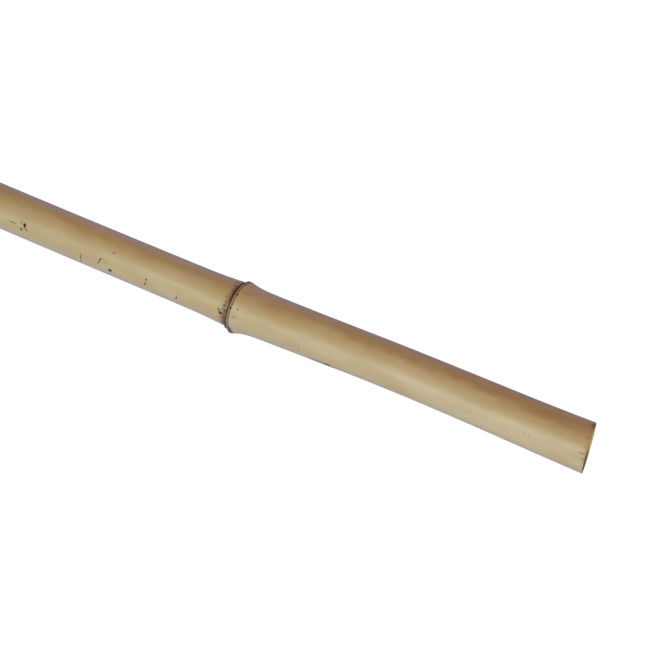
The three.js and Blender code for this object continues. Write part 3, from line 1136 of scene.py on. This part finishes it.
def scar_material(finish):
    """Dead sheath and root stubs."""
    made, tree, shader = material("dead sheath")
    coordinates = tree.nodes.new("ShaderNodeTexCoord")
    patchy = noise(Field(coordinates.outputs["Object"]), 900.0, detail=3.0)
    skin = tint(ramp(patchy, 0.3, 0.8), finish.scar, finish.stain)
    feed(shader.inputs["Base Color"], skin)
    shader.inputs["Roughness"].default_value = 0.75
    bump(tree, shader, patchy, distance=0.05 * MM, strength=0.5)
    return made


def finish_piece(piece, *replaced):
    """Every piece of the cane rides on its one body, and the parts that it replaces are hidden."""
    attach(piece, "root")
    if replaced:
        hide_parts(*replaced)


def named_sizes(shape):
    """Every size, under the name that the trees' inputs have for it."""
    return {item.name: getattr(shape, key) for key, item in shape.bl_rna.properties.items()}


def grow_on_skin(context, name, tree_maker, seed):
    """One piece of small things, all of dead sheath, that grow on the culm's skin."""
    sheath = bpy.data.materials.get("dead sheath") or scar_material(context.scene.cane_finish)
    values = {**named_sizes(context.scene.cane_shape), "Seed": seed, "Sheath": sheath}
    skin = bpy.data.objects["culm"].data.copy()
    finish_piece(grown(name, skin, tree_maker(), values))


class CANE_OT_grow_culm(bpy.types.Operator):
    """Roll up the culm with its nodes, hollow ends and saw cuts"""
    bl_idname = "cane.grow_culm"
    bl_label = "Grow Culm"

    def execute(self, context):
        shape, finish = context.scene.cane_shape, context.scene.cane_finish
        grain, spot, cut_shade = grain_group(), spot_group(), cut_shade_group()
        values = {
            **named_sizes(shape),
            "Skin": skin_material(finish, grain, spot, cut_shade),
            "Sawn Wood": sawn_material(finish, cut_shade),
            "Pith": pith_material(finish, grain, cut_shade),
        }
        culm = grown("culm", unrolled_sheet(shape.around), culm_tree(), values)
        finish_piece(culm, "cane")
        return {"FINISHED"}


class CANE_OT_add_root_dots(bpy.types.Operator):
    """Scatter root dots in the band above each ring"""
    bl_idname = "cane.add_root_dots"
    bl_label = "Add Root Dots"

    def execute(self, context):
        grow_on_skin(context, "root_dots", root_dot_tree, seed=11)
        return {"FINISHED"}


class CANE_OT_fray_scars(bpy.types.Operator):
    """Lay short fibres of the lost sheath along each scar"""
    bl_idname = "cane.fray_scars"
    bl_label = "Fray Scars"

    def execute(self, context):
        grow_on_skin(context, "scar_fibres", fibre_tree, seed=23)
        return {"FINISHED"}


def area_light(name, power, size, place, colour):
    """A soft rectangular light that shines at the lit place."""
    data = bpy.data.lights.new(name, "AREA")
    data.shape = "RECTANGLE"
    data.size, data.size_y = size
    data.energy = power
    data.color = colour
    light = bpy.data.objects.new(name, data)
    light.location = place
    light.rotation_euler = (LIT_PLACE - light.location).to_track_quat("-Z", "Y").to_euler()
    bpy.context.scene.collection.objects.link(light)


def seen_and_lighting(tree, seen, lighting):
    """Mixes two shaders of the stage: one is seen in the picture, and one lights the cane."""
    rays = tree.nodes.new("ShaderNodeLightPath")
    mix = tree.nodes.new("ShaderNodeMixShader")
    tree.links.new(rays.outputs["Is Camera Ray"], mix.inputs["Fac"])
    tree.links.new(lighting.outputs[0], mix.inputs[1])
    tree.links.new(seen.outputs[0], mix.inputs[2])
    return mix.outputs[0]


def studio_floor(stage):
    """A wide floor that the camera sees as plain white, and that lights the cane only a little."""
    made, tree, shader = material("studio floor")
    shader.inputs["Base Color"].default_value = stage.floor
    shader.inputs["Roughness"].default_value = 0.9
    shader.inputs["Specular IOR Level"].default_value = 0.1
    mix = seen_and_lighting(tree, tree.nodes.new("ShaderNodeEmission"), shader)
    tree.links.new(mix, tree.nodes["Material Output"].inputs["Surface"])
    half = 6.0
    mesh = bpy.data.meshes.new("floor")
    corners = [(-half, -half, 0), (half, -half, 0), (half, half, 0), (-half, half, 0)]
    mesh.from_pydata(corners, [], [(0, 1, 2, 3)])
    mesh.materials.append(made)
    floor = bpy.data.objects.new("floor", mesh)
    bpy.context.scene.collection.objects.link(floor)


def studio_world(stage):
    """White behind everything, and a dimmer, cooler light from all round."""
    world = bpy.data.worlds.new("studio")
    world.use_nodes = True
    bpy.context.scene.world = world
    tree = world.node_tree
    tree.nodes.clear()
    around = tree.nodes.new("ShaderNodeBackground")
    around.inputs["Color"].default_value = stage.sky
    around.inputs["Strength"].default_value = stage.sky_strength
    behind = tree.nodes.new("ShaderNodeBackground")
    behind.inputs["Color"].default_value = (1.0, 1.0, 1.0, 1.0)
    output = tree.nodes.new("ShaderNodeOutputWorld")
    tree.links.new(seen_and_lighting(tree, behind, around), output.inputs["Surface"])


def place_camera(stage):
    """The camera, which looks at its aim from the stage's azimuth, elevation and distance."""
    azimuth, elevation = stage.azimuth, stage.elevation
    data = bpy.data.cameras.new("camera")
    data.sensor_width = 36
    data.lens = stage.lens
    data.clip_start = 0.01
    camera = bpy.data.objects.new("camera", data)
    back = (math.sin(azimuth) * math.cos(elevation),
            -math.cos(azimuth) * math.cos(elevation),
            math.sin(elevation))
    camera.location = [aim + stage.distance * part for aim, part in zip(stage.aim, back)]
    camera.rotation_euler = (math.pi / 2 - elevation, 0.0, azimuth)
    bpy.context.scene.collection.objects.link(camera)
    bpy.context.scene.camera = camera


class CANE_OT_set_stage(bpy.types.Operator):
    """Set the floor, the lights and the camera"""
    bl_idname = "cane.set_stage"
    bl_label = "Set Stage"

    def execute(self, context):
        stage = context.scene.cane_stage
        studio_floor(stage)
        studio_world(stage)
        for name, power, size, place, colour in LIGHTS:
            area_light(name, getattr(stage, power), size, place, colour)
        place_camera(stage)
        context.scene.view_settings.view_transform = "Standard"
        return {"FINISHED"}


class CANE_PT_panel(bpy.types.Panel):
    """Sizes, colours and buttons of the bamboo cane"""
    bl_idname = "CANE_PT_panel"
    bl_label = "Bamboo Cane"
    bl_space_type = "VIEW_3D"
    bl_region_type = "UI"
    bl_category = "Cane"

    def draw(self, context):
        for group in (context.scene.cane_shape, context.scene.cane_finish,
                      context.scene.cane_stage):
            box = self.layout.box()
            for name in group.bl_rna.properties.keys():
                if name not in {"rna_type", "name"}:
                    box.prop(group, name)
        for operator in OPERATORS:
            self.layout.operator(operator.bl_idname)


OPERATORS = (CANE_OT_grow_culm, CANE_OT_add_root_dots, CANE_OT_fray_scars, CANE_OT_set_stage)
GROUPS = {"cane_shape": CaneShape, "cane_finish": CaneFinish, "cane_stage": CaneStage}


def register():
    for cls in (*GROUPS.values(), *OPERATORS, CANE_PT_panel):
        bpy.utils.register_class(cls)
    for name, group in GROUPS.items():
        setattr(bpy.types.Scene, name, bpy.props.PointerProperty(type=group))


def unregister():
    for name in GROUPS:
        delattr(bpy.types.Scene, name)
    for cls in (CANE_PT_panel, *reversed(OPERATORS), *GROUPS.values()):
        bpy.utils.unregister_class(cls)


def main():
    register()
    bpy.ops.cane.grow_culm()
    bpy.ops.cane.add_root_dots()
    bpy.ops.cane.fray_scars()
    bpy.ops.cane.set_stage()


if __name__ == "__main__":
    main()
